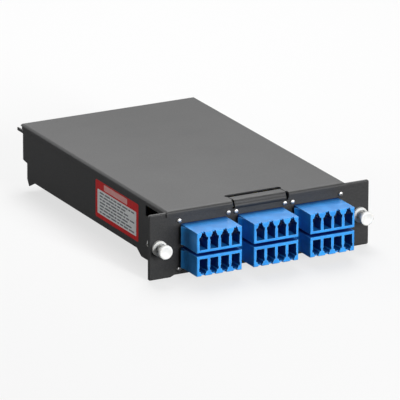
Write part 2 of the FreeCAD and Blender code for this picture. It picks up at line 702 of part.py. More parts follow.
def plunger_grommet(side):
    """Nylon grommet: a dished flange in front of the ear and four legs behind it."""
    x = SIDES[side] * PLUNGER_X
    flange = rod(x, PLUNGER_Z, GROMMET_FLANGE_RADIUS, -GROMMET_FLANGE_HEIGHT, 0)
    front = FACE_Y - GROMMET_FLANGE_HEIGHT
    rim = edges_where(flange, lambda point: abs(point.y - front) < 1e-6)
    flange = flange.makeChamfer(GROMMET_RIM, rim)
    neck = rod(x, PLUNGER_Z, GROMMET_RADIUS, 0, PLATE)
    legs = rod(x, PLUNGER_Z, LEGS_RADIUS, PLATE, GROMMET_LENGTH - GROMMET_NOSE)
    nose = taper(x, PLUNGER_Z, LEGS_RADIUS, SHANK_RADIUS + LEG_TIP_WALL,
                 GROMMET_LENGTH - GROMMET_NOSE, GROMMET_LENGTH)
    slit_front = PLATE + SLIT_START
    tools = [rod(x, PLUNGER_Z, SHANK_RADIUS + SHANK_GAP, -GROMMET_FLANGE_HEIGHT - 1,
                 GROMMET_LENGTH + 1),
             rod(x, PLUNGER_Z, GROMMET_RECESS_RADIUS, -GROMMET_FLANGE_HEIGHT - 1,
                 GROMMET_RECESS_DEPTH - GROMMET_FLANGE_HEIGHT),
             centred_block(x, PLUNGER_Z, SLIT_WIDTH, 3 * GROMMET_RADIUS, slit_front,
                           GROMMET_LENGTH + 1),
             centred_block(x, PLUNGER_Z, 3 * GROMMET_RADIUS, SLIT_WIDTH, slit_front,
                           GROMMET_LENGTH + 1)]
    return without(joined([flange, neck, legs, nose]), tools)


def plunger_pin(side):
    """Nylon plunger, pulled out: a thumb head, a shank and a barb behind the grommet."""
    x = SIDES[side] * PLUNGER_X
    head_rear = -GROMMET_FLANGE_HEIGHT - PLUNGER_STOP_GAP - PLUNGER_TRAVEL
    head_front = head_rear - HEAD_THICKNESS
    head = rod(x, PLUNGER_Z, HEAD_RADIUS, head_front, head_rear)
    front = FACE_Y + head_front
    head = head.makeFillet(HEAD_ROUND, edges_where(head, lambda point: abs(point.y - front) < 1e-6))
    barb_front = GROMMET_LENGTH + PLUNGER_STOP_GAP
    shank = rod(x, PLUNGER_Z, SHANK_RADIUS, head_rear, barb_front)
    barb = taper(x, PLUNGER_Z, BARB_RADIUS, BARB_TIP_RADIUS, barb_front,
                 barb_front + BARB_LENGTH)
    return joined([head, shank, barb])


# --- Rear MPO adapters ---

def mpo_x(side):
    """Axis of a rear adapter."""
    return BODY_MID + SIDES[side] * MPO_SPREAD


def snap_barb(x, side):
    """Moulded ramp on one side of a rear adapter that holds it against the rear wall."""
    heel = REAR_WALL - SHEET - MPO_BARB_GAP
    edge = x + side * MPO_WIDTH / 2
    outline = [(edge, heel - MPO_BARB_LENGTH), (edge + side * MPO_BARB_RISE, heel), (edge, heel)]
    low = MPO_Z - MPO_BARB_HEIGHT / 2
    face = Part.makePolygon([place(across, depth, low) for across, depth in outline + outline[:1]])
    return Part.Face(face).extrude(FreeCAD.Vector(0, 0, MPO_BARB_HEIGHT))


def mpo_adapter(side):
    """Rear adapter: a keyed port at each end, a flange outside the wall, barbs inside it."""
    x = mpo_x(side)
    body = centred_block(x, MPO_Z, MPO_WIDTH, MPO_HEIGHT, MPO_FRONT, MPO_REAR)
    flange = centred_block(x, MPO_Z, MPO_FLANGE_WIDTH, MPO_HEIGHT + 2 * MPO_FLANGE_RISE, REAR_WALL,
                           REAR_WALL + MPO_FLANGE_THICKNESS)
    barbs = [snap_barb(x, barb_side) for barb_side in SIDES.values()]
    port_width = MPO_WIDTH - 2 * MPO_WALL
    port_height = MPO_HEIGHT - 2 * MPO_WALL
    web_front = (MPO_FRONT + MPO_REAR - MPO_WEB) / 2
    web_rear = web_front + MPO_WEB
    key_z = MPO_Z + port_height / 2
    tools = [centred_block(x, MPO_Z, MPO_WEB_WIDTH, MPO_WEB_HEIGHT, MPO_FRONT, MPO_REAR)]
    for front, rear in ((MPO_FRONT - 1, web_front), (web_rear, MPO_REAR + 1)):
        tools.append(centred_block(x, MPO_Z, port_width, port_height, front, rear))
        tools.append(centred_block(x, key_z, MPO_KEY_WIDTH, 2 * MPO_KEY_DEPTH, front, rear))
    return without(joined([body, flange] + barbs), tools)


def mpo_plug(side):
    """Plug in the inner port: housing, collar, ferrule in the web and a tapered boot."""
    x = mpo_x(side)
    width = MPO_WIDTH - 2 * (MPO_WALL + MPO_PLUG_GAP)
    height = MPO_HEIGHT - 2 * (MPO_WALL + MPO_PLUG_GAP)
    web_front = (MPO_FRONT + MPO_REAR - MPO_WEB) / 2
    collar_front = MPO_FRONT - MPO_PLUG_COLLAR
    housing = centred_block(x, MPO_Z, width, height, collar_front, web_front - MPO_PLUG_GAP)
    ferrule = centred_block(x, MPO_Z, MPO_WEB_WIDTH - 2 * MPO_PLUG_GAP,
                            MPO_WEB_HEIGHT - 2 * MPO_PLUG_GAP, MPO_FRONT,
                            web_front + MPO_WEB / 2)
    collar = centred_block(x, MPO_Z, MPO_WIDTH, MPO_HEIGHT, collar_front,
                           MPO_FRONT - MPO_PLUG_GAP)
    boot = square_taper(x, MPO_Z, (MPO_BOOT_END, MPO_BOOT_END), (width, height), MPO_BOOT_TIP,
                        collar_front)
    return joined([housing, ferrule, collar, boot])


# --- Fibres inside ---

def lc_plug(x, row):
    """A plug in the rear of a port: body, boot and the arm of its latch."""
    turn = ROWS[row]
    z = port_z(row)
    body = centred_block(x, z, PLUG_SIDE, PLUG_SIDE, PLUG_NOSE, PLUG_REAR)
    boot = square_taper(x, z, (BOOT_SIDE, BOOT_SIDE), (2 * LEG_WIDTH, 2 * LEG_WIDTH), PLUG_REAR,
                        LEG_START)
    top = PLUG_SIDE / 2
    root = top - LATCH_ROOT
    arm = [(PLUG_NOSE + LATCH_FRONT, root), (PLUG_REAR, root), (PLUG_REAR, top + LATCH_RISE),
           (PLUG_NOSE + LATCH_TIP_FRONT, top + LATCH_TIP)]
    outline = [(depth, z + turn * up) for depth, up in arm]
    latch = side_profile(outline, [0.0] * len(outline), x - LATCH_WIDTH / 2, x + LATCH_WIDTH / 2)
    return joined([body, boot, latch])


def lc_plugs(column, row):
    """The four plugs of one adapter."""
    return [lc_plug(x, row) for x in port_xs(column)]


def s_curve(start, end, width):
    """Tube with flat sides on two equal tangent arcs, leaving and arriving along the depth."""
    ahead = FreeCAD.Vector(0, 1, 0)
    run = end.y - start.y
    aside = FreeCAD.Vector(end.x - start.x, 0, end.z - start.z)
    offset = aside.Length
    aside = aside.normalize()
    normal = ahead.cross(aside)
    half_side = math.pi / TUBE_SIDES
    corners = []
    for index in range(TUBE_SIDES + 1):
        turn = (2 * index + 1) * half_side
        spoke = aside * math.cos(turn) + normal * math.sin(turn)
        corners.append(start + spoke * (width / 2 / math.cos(half_side)))
    section = Part.Face(Part.makePolygon(corners))
    bend = (run * run + offset * offset) / (4 * offset)
    turn = math.degrees(2 * math.atan2(offset, run))
    first = section.revolve(start + aside * bend, normal, turn)
    second = first.copy()
    second.rotate((start + end) * 0.5, normal, 180)
    return joined([first, second])


def row_ports():
    """All port positions of a row, left to right."""
    return [x for column in range(1, COLUMNS + 1) for x in port_xs(column)]


def fibre_leg(x, row):
    """One buffered fibre from a plug's boot to its place in the row's fan-out."""
    place_in_row = row_ports().index(x) - (ROW_FIBRES - 1) / 2
    z = port_z(row)
    return s_curve(place(x, LEG_START, z),
                   place(BODY_MID + place_in_row * LEG_PITCH, FANOUT_FRONT, z), LEG_WIDTH)


def fibre_legs(column, row):
    """The four legs of one adapter."""
    return [fibre_leg(x, row) for x in port_xs(column)]


def fanout_block(row):
    """Moulded block where twelve legs join one bundle."""
    body = centred_block(BODY_MID, port_z(row), FANOUT_WIDTH, FANOUT_HEIGHT, FANOUT_FRONT,
                         FANOUT_REAR)
    upright = [edge for edge in body.Edges if abs(edge.tangentAt(edge.FirstParameter).z) > 0.9]
    return body.makeChamfer(FANOUT_SIDE, upright)


def fanout_stand():
    """Moulded rack on the tray floor: the lower fan-out in a window, the upper in a cradle."""
    floor = FLOOR_Z + SHEET
    inside = FANOUT_WIDTH / 2 + STAND_GAP
    outside = inside + STAND_WALL
    front = FANOUT_FRONT + STAND_WALL
    rear = FANOUT_REAR - STAND_WALL
    half = FANOUT_HEIGHT / 2 + STAND_GAP
    upper = port_z("upper")
    lower = port_z("lower")
    top = upper + half
    lip = STAND_LIP
    body = block(BODY_MID - outside, BODY_MID + outside, front, rear, floor, top + 2 * lip)
    throat = [(BODY_MID - inside, upper - half), (BODY_MID + inside, upper - half),
              (BODY_MID + inside, top), (BODY_MID + inside - lip, top + lip),
              (BODY_MID + inside, top + 3 * lip), (BODY_MID - inside, top + 3 * lip),
              (BODY_MID - inside + lip, top + lip), (BODY_MID - inside, top)]
    cradle = front_profile(throat, [0.0] * len(throat), front - 1, rear + 1)
    window = centred_block(BODY_MID, lower, 2 * inside, 2 * half, front - 1, rear + 1)
    relief = block(BODY_MID - inside, BODY_MID + inside, front - 1, rear + 1,
                   lower + half + STAND_WALL, upper - half - STAND_WALL)
    return without(body, [cradle, window, relief])


def fibre_bundle(row):
    """Jacketed bundle from a fan-out block to its rear plug: upper to left, lower to right."""
    side = "left" if row == "upper" else "right"
    return s_curve(place(BODY_MID, FANOUT_REAR, port_z(row)),
                   place(mpo_x(side), MPO_BOOT_TIP, MPO_Z), BUNDLE_WIDTH)


# --- All nodes ---

def build_nodes():
    """Every node of the cassette as a name and its solids."""
    nodes = {"faceplate": [faceplate()], "base_tray": [base_tray()], "top_cover": [top_cover()],
             "cover_screws": cover_screws()}
    for column in range(1, COLUMNS + 1):
        nodes[f"adapter_retainer_{column}"] = [adapter_retainer(column)]
    for label, column, row in adapter_places():
        nodes[f"adapter_front_{label}"] = [adapter_front(column, row)]
        nodes[f"adapter_rear_{label}"] = [adapter_rear(column, row)]
        nodes[f"lc_plugs_{label}"] = lc_plugs(column, row)
        nodes[f"fibre_legs_{label}"] = fibre_legs(column, row)
    for side in SIDES:
        nodes[f"plunger_grommet_{side}"] = [plunger_grommet(side)]
        nodes[f"plunger_pin_{side}"] = [plunger_pin(side)]
        nodes[f"mpo_adapter_{side}"] = [mpo_adapter(side)]
        nodes[f"mpo_plug_{side}"] = [mpo_plug(side)]
    nodes["fanout_stand"] = [fanout_stand()]
    for row in ROWS:
        nodes[f"fanout_block_{row}"] = [fanout_block(row)]
        nodes[f"fibre_bundle_{row}"] = [fibre_bundle(row)]
    return nodes


def main():
    """Write one STEP file for each node."""
    os.makedirs("parts", exist_ok=True)
    for name, solids in build_nodes().items():
        shape = solids[0] if len(solids) == 1 else Part.makeCompound(solids)
        shape.exportStep(f"parts/{name}.step")
        print(name, len(shape.Solids), round(shape.Volume, 2), shape.isValid())


main()
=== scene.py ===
"""Looks of a fibre cassette: finishes for the folded steel housing and the blue adapters,
and the fine pieces (rivets, screws, plungers, sleeves, fibres, label) that sit on its frame."""

import logging
import math
from dataclasses import dataclass
from enum import Enum, IntEnum

import bmesh
import bpy
from mathutils import Matrix, Quaternion, Vector


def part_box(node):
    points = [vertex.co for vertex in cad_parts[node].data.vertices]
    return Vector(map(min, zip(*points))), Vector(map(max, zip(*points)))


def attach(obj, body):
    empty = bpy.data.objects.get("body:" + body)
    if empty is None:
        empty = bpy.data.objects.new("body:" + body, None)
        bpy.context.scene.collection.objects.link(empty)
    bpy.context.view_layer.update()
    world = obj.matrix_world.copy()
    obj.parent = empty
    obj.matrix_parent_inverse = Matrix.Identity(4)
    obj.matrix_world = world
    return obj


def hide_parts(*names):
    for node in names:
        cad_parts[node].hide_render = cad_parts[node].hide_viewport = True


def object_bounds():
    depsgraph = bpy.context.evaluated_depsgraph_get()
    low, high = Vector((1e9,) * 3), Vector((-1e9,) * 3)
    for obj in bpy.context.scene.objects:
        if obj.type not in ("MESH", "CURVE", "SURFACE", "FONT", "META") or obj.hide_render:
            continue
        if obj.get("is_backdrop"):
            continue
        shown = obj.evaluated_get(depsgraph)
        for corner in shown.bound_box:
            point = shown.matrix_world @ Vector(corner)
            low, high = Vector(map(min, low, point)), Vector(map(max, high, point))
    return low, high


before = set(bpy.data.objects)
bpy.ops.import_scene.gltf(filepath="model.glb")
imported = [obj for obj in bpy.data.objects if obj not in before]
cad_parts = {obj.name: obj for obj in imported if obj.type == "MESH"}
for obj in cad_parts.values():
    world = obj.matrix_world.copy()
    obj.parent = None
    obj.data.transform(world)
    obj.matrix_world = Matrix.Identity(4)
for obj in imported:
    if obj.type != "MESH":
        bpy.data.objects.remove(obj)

LOG = logging.getLogger("fibre_cassette")
CASSETTE = "cassette"           # the body that carries all but the two plungers
MM = 0.001
COLUMNS = (1, 2, 3)
PORTS = 4
GROMMET_FLANGE = 2.0 * MM       # stands this far in front of the faceplate
SMALL_ROUND = 28                # faces round a rivet or a sleeve
LARGE_ROUND = 64                # faces round a plunger


class Row(Enum):
    """The two rows of adapters; the value is the way the latches face."""

    UPPER = 1
    LOWER = -1

    @property
    def label(self) -> str:
        """The row's name in the frame's node names."""
        return self.name.lower()


class Ink(IntEnum):
    """What a part of the label is printed with; the value is its material index."""

    RED = 0
    WHITE = 1
    GREY = 2
    ROSE = 3


class Side(Enum):
    """Left and right seen from the front; the value is the sign of X."""

    LEFT = -1
    RIGHT = 1

    @property
    def label(self) -> str:
        """The side's name in the frame's node names."""
        return self.name.lower()


# --- Colour and shader helpers ---

def linear(hex_colour: str) -> tuple[float, float, float, float]:
    """Turn an sRGB hex colour into the linear values a shader takes.

    Args:
        hex_colour: Colour written as #rrggbb.

    Returns:
        Linear red, green, blue and an alpha of 1.
    """
    channels = []
    for start in (1, 3, 5):
        value = int(hex_colour[start:start + 2], 16) / 255
        channels.append(value / 12.92 if value <= 0.04045 else ((value + 0.055) / 1.055) ** 2.4)
    return (*channels, 1.0)


def add_node(tree: bpy.types.NodeTree, kind: str,
             inputs: dict[str | int, object] | None = None, **settings: object) -> bpy.types.Node:
    """Add one node with its settings, input values and incoming links.

    Args:
        tree: Node tree that gets the node.
        kind: Blender's type name of the node.
        inputs: Input name or index to a value, or to the output socket that feeds it.
        **settings: Attributes of the node itself.

    Returns:
        The new node.
    """
    made = tree.nodes.new(kind)
    for name, value in settings.items():
        setattr(made, name, value)
    for key, value in (inputs or {}).items():
        if isinstance(value, bpy.types.NodeSocket):
            tree.links.new(value, made.inputs[key])
        else:
            made.inputs[key].default_value = value
    return made


# --- Finishes ---

@dataclass(frozen=True)
class Finish:
    """A real material and the way its surface was made.

    Attributes:
        name: Material name.
        colour: sRGB hex of the surface.
        ior: Index of refraction of the outermost layer.
        roughness: Microfacet roughness of the surface.
        slot: The record's material slot of the same finish, where it has one; not used.
    """

    name: str
    colour: str
    ior: float = 1.5
    roughness: float = 0.4
    slot: str = ""
    NOISE_SPAN = (0.3, 0.7)     # grey values that nearly all of a noise lies between
    EDGE_SAMPLES = 4

    def material(self) -> bpy.types.Material:
        """Make the material, or return the one already made.

        Returns:
            The material, with its nodes.
        """
        known = bpy.data.materials.get(self.name)
        if known:
            return known
        made = bpy.data.materials.new(self.name)
        made.use_nodes = True
        tree = made.node_tree
        shader = tree.nodes["Principled BSDF"]
        shader.inputs["Base Color"].default_value = linear(self.colour)
        shader.inputs["IOR"].default_value = self.ior
        shader.inputs["Roughness"].default_value = self.roughness
        made.diffuse_color = linear(self.colour)
        self.dress(tree, shader)
        return made

    def dress(self, tree: bpy.types.NodeTree, shader: bpy.types.Node) -> None:
        """Add the finish's own pattern to a plain shader."""

    def grain(self, tree: bpy.types.NodeTree, size_mm: float, detail: float = 2.0,
              stretch: tuple[float, float, float] = (1, 1, 1)) -> bpy.types.NodeSocket:
        """Noise whose grains are about one real size across.

        Args:
            tree: Node tree of the material.
            size_mm: Size of a grain.
            detail: Octaves of finer noise on top.
            stretch: Factors on the coordinate, for a grain that runs one way.

        Returns:
            The noise's grey value.
        """
        place = add_node(tree, "ShaderNodeTexCoord")
        where = add_node(tree, "ShaderNodeMapping",
                         {"Vector": place.outputs["Object"], "Scale": stretch})
        noise = add_node(tree, "ShaderNodeTexNoise",
                         {"Vector": where.outputs["Vector"], "Scale": 1 / (size_mm * MM),
                          "Detail": detail})
        return noise.outputs["Fac"]

    def ramp(self, tree: bpy.types.NodeTree, value: bpy.types.NodeSocket, low: str, high: str,
             span: tuple[float, float] = (0.35, 0.65)) -> bpy.types.NodeSocket:
        """Blend two hex colours by a grey value.

        Args:
            tree: Node tree of the material.
            value: Grey value that chooses between the colours.
            low: Hex colour at and below the span.
            high: Hex colour at and above the span.
            span: Grey values between which the colours blend.

        Returns:
            The blended colour.
        """
        ramp = add_node(tree, "ShaderNodeValToRGB", {"Fac": value})
        ramp.color_ramp.elements[0].position, ramp.color_ramp.elements[1].position = span
        ramp.color_ramp.elements[0].color = linear(low)
        ramp.color_ramp.elements[1].color = linear(high)
        return ramp.outputs["Color"]

    def tint(self, tree: bpy.types.NodeTree, shader: bpy.types.Node, value: bpy.types.NodeSocket,
             low: str, high: str) -> None:
        """Drive the surface colour between two hex values by a grey value."""
        tree.links.new(self.ramp(tree, value, low, high), shader.inputs["Base Color"])

    def rough(self, tree: bpy.types.NodeTree, shader: bpy.types.Node, value: bpy.types.NodeSocket,
              spread: float) -> None:
        """Let the roughness wander by a spread round the finish's own value.

        Args:
            tree: Node tree of the material.
            shader: Its Principled shader.
            value: Grey value that the roughness follows.
            spread: Most that it moves either way.
        """
        low, high = self.NOISE_SPAN
        wander = add_node(tree, "ShaderNodeMapRange",
                          {"Value": value, "From Min": low, "From Max": high,
                           "To Min": self.roughness - spread, "To Max": self.roughness + spread})
        tree.links.new(wander.outputs["Result"], shader.inputs["Roughness"])

    def relief(self, tree: bpy.types.NodeTree, shader: bpy.types.Node,
               value: bpy.types.NodeSocket, height_mm: float, edge_mm: float = 0.0) -> None:
        """Raise the surface by a grey value, and round its edges to the eye.

        Args:
            tree: Node tree of the material.
            shader: Its Principled shader.
            value: Grey value that raises the surface.
            height_mm: Height of the relief.
            edge_mm: Radius that the edges seem to have; 0 leaves them sharp.
        """
        inputs = {"Height": value, "Distance": height_mm * MM, "Strength": 1.0}
        if edge_mm:
            inputs["Normal"] = add_node(tree, "ShaderNodeBevel", {"Radius": edge_mm * MM},
                                        samples=self.EDGE_SAMPLES).outputs["Normal"]
        bump = add_node(tree, "ShaderNodeBump", inputs)
        tree.links.new(bump.outputs["Normal"], shader.inputs["Normal"])


class PowderCoat(Finish):
    """Black polyester powder baked on folded steel: satin, with a shallow orange peel."""

    PEEL_MM = 1.4      # real peel is about 0.7 mm; drawn coarser so that it shows
    SPECK_MM = 0.5     # real powder grains are about 0.05 mm; drawn coarser so that they show
    CLOUD_MM = 55.0    # how far apart the coat is thicker and thinner

    def dress(self, tree: bpy.types.NodeTree, shader: bpy.types.Node) -> None:
        """Speckled black, wandering gloss and the peel as a shallow relief.

        Args:
            tree: Node tree of the material.
            shader: Its Principled shader.
        """
        self.tint(tree, shader, self.grain(tree, self.SPECK_MM), "#1d1d1e", "#2b2b2b")
        self.rough(tree, shader, self.grain(tree, self.CLOUD_MM), 0.035)
        self.relief(tree, shader, self.grain(tree, self.PEEL_MM, 1.0), 0.012, edge_mm=0.12)


class MouldedBlue(Finish):
    """Glass-filled PBT moulded in a spark-eroded tool: blue, semi-gloss, faintly mottled, with a
    painted highlight on its edges and painted shade in its ports.
    """

    FLOW_MM = 6.0
    SPARK_MM = 0.45    # real spark texture is about 0.05 mm; drawn coarser so that it shows
    PAINTED_SHADE_MM = 6.0   # painted shade: the blue is darkened where walls are nearer than this
    PAINTED_HIGHLIGHT_MM = 0.4       # width of the painted highlight along the edges
    PAINTED_HIGHLIGHT_SHARE = 0.6    # share of the painted highlight's pale colour, at the sharpest edge
    PAINTED_HIGHLIGHT_SAMPLES = 6
    PAINTED_SHADE_SAMPLES = 8

    def dress(self, tree: bpy.types.NodeTree, shader: bpy.types.Node) -> None:
        """Flow clouds in the colour, a painted highlight on the edges, painted shade in the ports,
        a fine grain.

        Args:
            tree: Node tree of the material.
            shader: Its Principled shader.
        """
        flow = self.ramp(tree, self.grain(tree, self.FLOW_MM), "#1b7ecb", "#2790df")
        # painted highlight: a pale blue is mixed into the colour along the edges, where the rounded
        # normal parts from the true one
        bent = add_node(tree, "ShaderNodeBevel", {"Radius": self.PAINTED_HIGHLIGHT_MM * MM},
                        samples=self.PAINTED_HIGHLIGHT_SAMPLES)
        face = add_node(tree, "ShaderNodeNewGeometry")
        flat = add_node(tree, "ShaderNodeVectorMath",
                        {0: bent.outputs["Normal"], 1: face.outputs["Normal"]},
                        operation="DOT_PRODUCT")
        rim = add_node(tree, "ShaderNodeMapRange",
                       {"Value": flat.outputs["Value"], "From Min": 0.8, "From Max": 1.0,
                        "To Min": self.PAINTED_HIGHLIGHT_SHARE, "To Max": 0.0})
        # A colour mix takes its factor, first and second colour at 0, 6 and 7, and gives them at 2.
        painted_highlight = add_node(tree, "ShaderNodeMix",
                          {0: rim.outputs["Result"], 6: flow, 7: linear("#8cc8f2")},
                          data_type="RGBA")
        # painted shade: ambient occlusion darkens the blue towards navy in the ports and between
        # parts
        painted_shade_ao = add_node(tree, "ShaderNodeAmbientOcclusion", {"Distance": self.PAINTED_SHADE_MM * MM},
                          samples=self.PAINTED_SHADE_SAMPLES)
        depth = self.ramp(tree, painted_shade_ao.outputs["AO"], "#101a86", "#ffffff", (0.22, 0.8))
        mixed = add_node(tree, "ShaderNodeMix", {0: 1.0, 6: painted_highlight.outputs[2], 7: depth},
                         data_type="RGBA", blend_type="MULTIPLY")
        tree.links.new(mixed.outputs[2], shader.inputs["Base Color"])
        self.rough(tree, shader, self.grain(tree, self.SPARK_MM * 4), 0.05)
        self.relief(tree, shader, self.grain(tree, self.SPARK_MM), 0.006, edge_mm=0.12)


class NaturalNylon(Finish):
    """Unpigmented moulded nylon 66: milky white, light enters and softens its edges."""

    SINK_MM = 3.0      # shallow sinks where the moulding cooled

    def dress(self, tree: bpy.types.NodeTree, shader: bpy.types.Node) -> None:
        """Milky depth under a faintly uneven skin.

        Args:
            tree: Node tree of the material.
            shader: Its Principled shader.
        """
        shader.inputs["Subsurface Weight"].default_value = 0.2
        shader.inputs["Subsurface Radius"].default_value = (1.0, 0.9, 0.8)
        shader.inputs["Subsurface Scale"].default_value = 0.8 * MM
        value = self.grain(tree, self.SINK_MM)
        self.tint(tree, shader, value, "#d2d3d1", "#dcdddb")
        self.relief(tree, shader, value, 0.01, edge_mm=0.15)


class BrightZinc(Finish):
    """Zinc plated and clear passivated steel: pale grey metal with a soft, cloudy shine."""

    CLOUD_MM = 1.6
    DRAW_MM = 0.3      # real draw lines are about 0.05 mm; drawn coarser so that they show

    def dress(self, tree: bpy.types.NodeTree, shader: bpy.types.Node) -> None:
        """Full metal, cloudy in gloss, with fine draw lines.

        Args:
            tree: Node tree of the material.
            shader: Its Principled shader.
        """
        shader.inputs["Metallic"].default_value = 1.0
        self.tint(tree, shader, self.grain(tree, self.CLOUD_MM), "#bcbcbb", "#d8d7d5")
        self.rough(tree, shader, self.grain(tree, self.CLOUD_MM), 0.08)
        self.relief(tree, shader, self.grain(tree, self.DRAW_MM, 1.0, (1, 1, 0.1)), 0.003)


class BlackOxide(Finish):
    """Black oxide on a turned steel screw: dark, slightly oily metal."""

    MOTTLE_MM = 0.6

    def dress(self, tree: bpy.types.NodeTree, shader: bpy.types.Node) -> None:
        """Dark metal with a mottled oil film.

        Args:
            tree: Node tree of the material.
            shader: Its Principled shader.
        """
        shader.inputs["Metallic"].default_value = 0.9
        value = self.grain(tree, self.MOTTLE_MM)
        self.tint(tree, shader, value, "#26272a", "#3a3b3e")
        self.rough(tree, shader, value, 0.1)


class MouldedBlack(Finish):
    """Moulded black ABS of the fan-out parts: matt, with a fine eroded grain."""

    SPARK_MM = 0.5     # real spark texture is about 0.05 mm; drawn coarser so that it shows

    def dress(self, tree: bpy.types.NodeTree, shader: bpy.types.Node) -> None:
        """Near-black with a fine grain.

        Args:
            tree: Node tree of the material.
            shader: Its Principled shader.
        """
        value = self.grain(tree, self.SPARK_MM)
        self.tint(tree, shader, value, "#151515", "#212122")
        self.relief(tree, shader, value, 0.008, edge_mm=0.1)


class FibreJacket(Finish):
    """Extruded PVC jacket of a single-mode fibre: yellow, smooth, faint lines along it."""

    DRAW_MM = 0.4      # real draw lines are about 0.05 mm; drawn coarser so that they show

    def dress(self, tree: bpy.types.NodeTree, shader: bpy.types.Node) -> None:
        """Yellow with faint draw lines.

        Args:
            tree: Node tree of the material.
            shader: Its Principled shader.
        """
        value = self.grain(tree, self.DRAW_MM, 1.0, (1, 0.08, 1))
        self.tint(tree, shader, value, "#e0b000", "#f0c91a")
        self.relief(tree, shader, value, 0.004)


class SinteredZirconia(Finish):
    """Ground zirconia of the alignment sleeves: dense, warm white and glossy."""

    GRIND_MM = 0.2     # real grinding lines are about 0.01 mm; drawn coarser so that they show

    def dress(self, tree: bpy.types.NodeTree, shader: bpy.types.Node) -> None:
        """Warm white with faint grinding lines.

        Args:
            tree: Node tree of the material.
            shader: Its Principled shader.
        """
        value = self.grain(tree, self.GRIND_MM, 1.0, (1, 0.1, 1))
        self.tint(tree, shader, value, "#dedbd2", "#ecebe4")
        self.relief(tree, shader, value, 0.002)


@dataclass(frozen=True)
class PrintedFilm(Finish):
    """Printed vinyl film: one satin ink, with a faint unevenness from the adhesive below.

    Attributes:
        ink: Hex colour where the ink lies thinner.
    """

    ink: str = "#ffffff"
    SKIN_MM = 2.2

    def dress(self, tree: bpy.types.NodeTree, shader: bpy.types.Node) -> None:
        """Slightly uneven ink on a smooth film.

        Args:
            tree: Node tree of the material.
            shader: Its Principled shader.
        """
        self.tint(tree, shader, self.grain(tree, self.SKIN_MM, 4.0), self.colour, self.ink)
        self.relief(tree, shader, self.grain(tree, self.SKIN_MM * 2, 1.0), 0.01)


POWDER_BLACK = PowderCoat("powder_coat_black", "#232426", 1.45, 0.5, "black_powder_coat")
PBT_BLUE = MouldedBlue("moulded_pbt_blue", "#2186d4", 1.55, 0.42, "blue_moulding")
NYLON_WHITE = NaturalNylon("moulded_nylon_natural", "#eff0ee", 1.53, 0.36, "white_nylon")
ZINC_BRIGHT = BrightZinc("zinc_plated_steel", "#d8d8d8", 1.5, 0.32, "zinc_plate")
OXIDE_BLACK = BlackOxide("black_oxide_steel", "#303134", 1.5, 0.4, "screw_black")
ABS_BLACK = MouldedBlack("moulded_abs_black", "#1a1a1a", 1.53, 0.5, "black_moulding")
JACKET_YELLOW = FibreJacket("extruded_pvc_yellow", "#e8bd10", 1.53, 0.42, "yellow_jacket")
ZIRCONIA = SinteredZirconia("ground_zirconia", "#e6e3da", 2.1, 0.2)
FILM_WHITE = PrintedFilm("vinyl_film_white", "#e9ebeb", 1.44, 0.48, ink="#f0f2f2")
FILM_RED = PrintedFilm("vinyl_film_red_ink", "#cc060c", 1.44, 0.48, ink="#d80d12")
FILM_ROSE = PrintedFilm("vinyl_film_rose_ink", "#eaa5a1", 1.44, 0.48, ink="#f2b6b2")
FILM_GREY = PrintedFilm("vinyl_film_grey_ink", "#64676e", 1.44, 0.5, ink="#73767d")


# --- Mesh helpers ---

